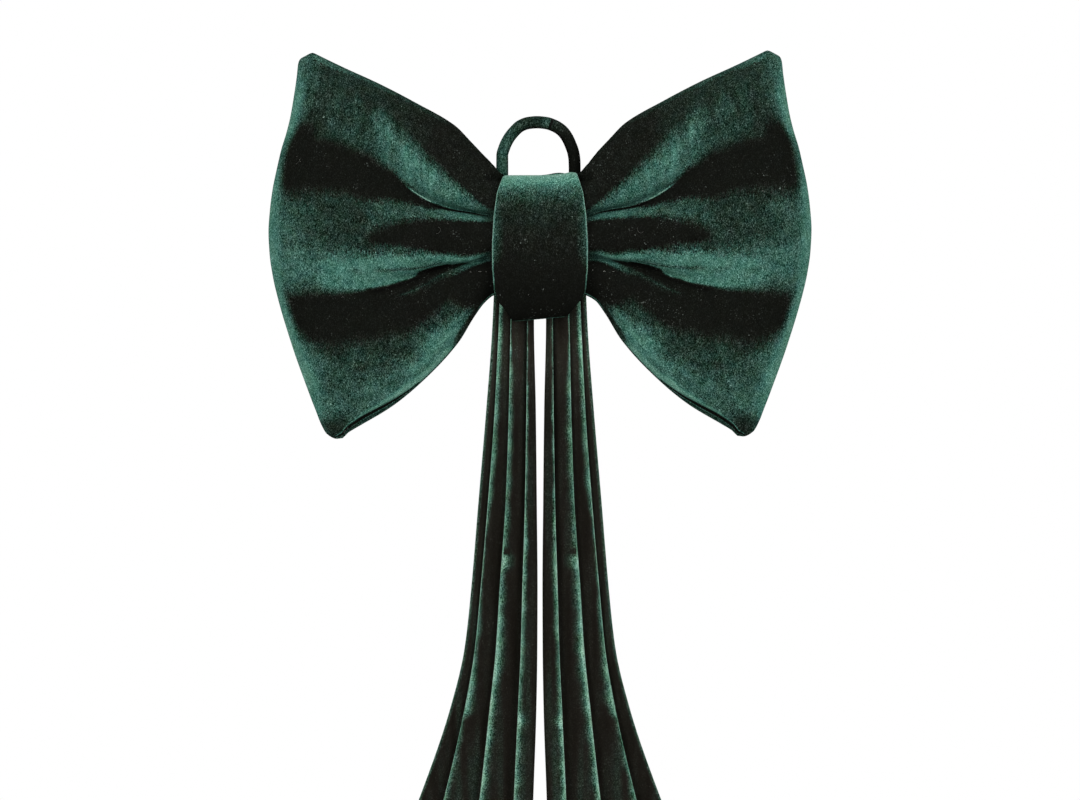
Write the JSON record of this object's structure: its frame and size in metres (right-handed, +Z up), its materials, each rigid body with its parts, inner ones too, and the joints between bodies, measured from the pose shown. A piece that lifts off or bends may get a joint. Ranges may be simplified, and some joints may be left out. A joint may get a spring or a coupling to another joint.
{
  "type": "velvet bow with hanging loop and pleated tails",
  "caption": "Velvet bow with puffed, pinched wings held by a wide knot band, with a fabric hanging loop behind the knot and long pleated tails that flare towards the hem.",
  "frame": {"origin": "inside of the hanging loop's top, where a hook or nail holds the bow", "axes": "+Z up along the hanging direction, +X across the wings to the viewer's right, +Y away from the viewer, towards what the bow hangs on"},
  "size_m": [0.2988, 0.049, 0.5213],
  "materials": {
    "bow_velvet": "matt pile with a bright sheen at grazing angles",
    "knot_velvet": "matt pile with a bright sheen at grazing angles",
    "loop_velvet": "matt pile with a bright sheen at grazing angles",
    "tail_velvet": "matt pile with a bright sheen at grazing angles"
  },
  "bodies": {
    "root": {"bow": "bow_velvet", "knot_band": "knot_velvet", "hanging_loop": "loop_velvet", "tail_left": "tail_velvet", "tail_right": "tail_velvet"}
  },
  "joints": []
}
